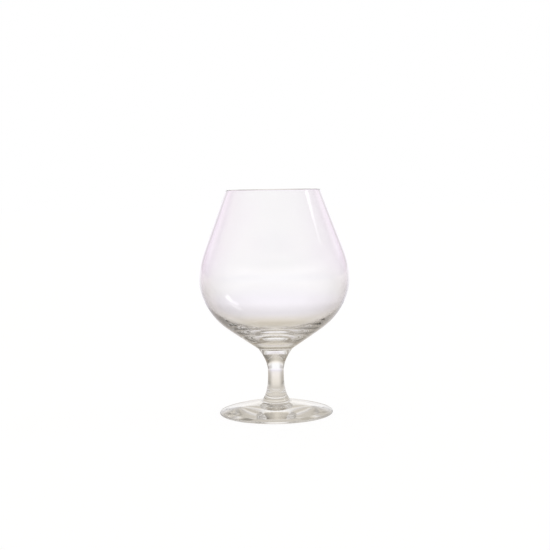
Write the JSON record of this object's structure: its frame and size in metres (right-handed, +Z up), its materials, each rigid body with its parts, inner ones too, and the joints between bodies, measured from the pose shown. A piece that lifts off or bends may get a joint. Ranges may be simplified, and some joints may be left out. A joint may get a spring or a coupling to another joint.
{
  "type": "brandy snifter",
  "caption": "Stemmed drinking glass with a wide round bowl that narrows to a small mouth, on a short waisted stem and a flat round foot.",
  "frame": {"origin": "centre of the foot's underside, in the plane that the glass stands on", "axes": "+Z up along the glass's own axis towards the rim; X and Y lie in the table's plane and are alike"},
  "size_m": [0.095, 0.095, 0.1426],
  "materials": {
    "bowl_glass": "clear blown glass, fire-polished, faintly lilac",
    "stem_glass": "clear solid glass, polished",
    "foot_glass": "clear pressed glass, polished, with faint ripples"
  },
  "bodies": {
    "root": {"bowl": "bowl_glass", "stem": "stem_glass", "foot": "foot_glass"}
  },
  "joints": []
}
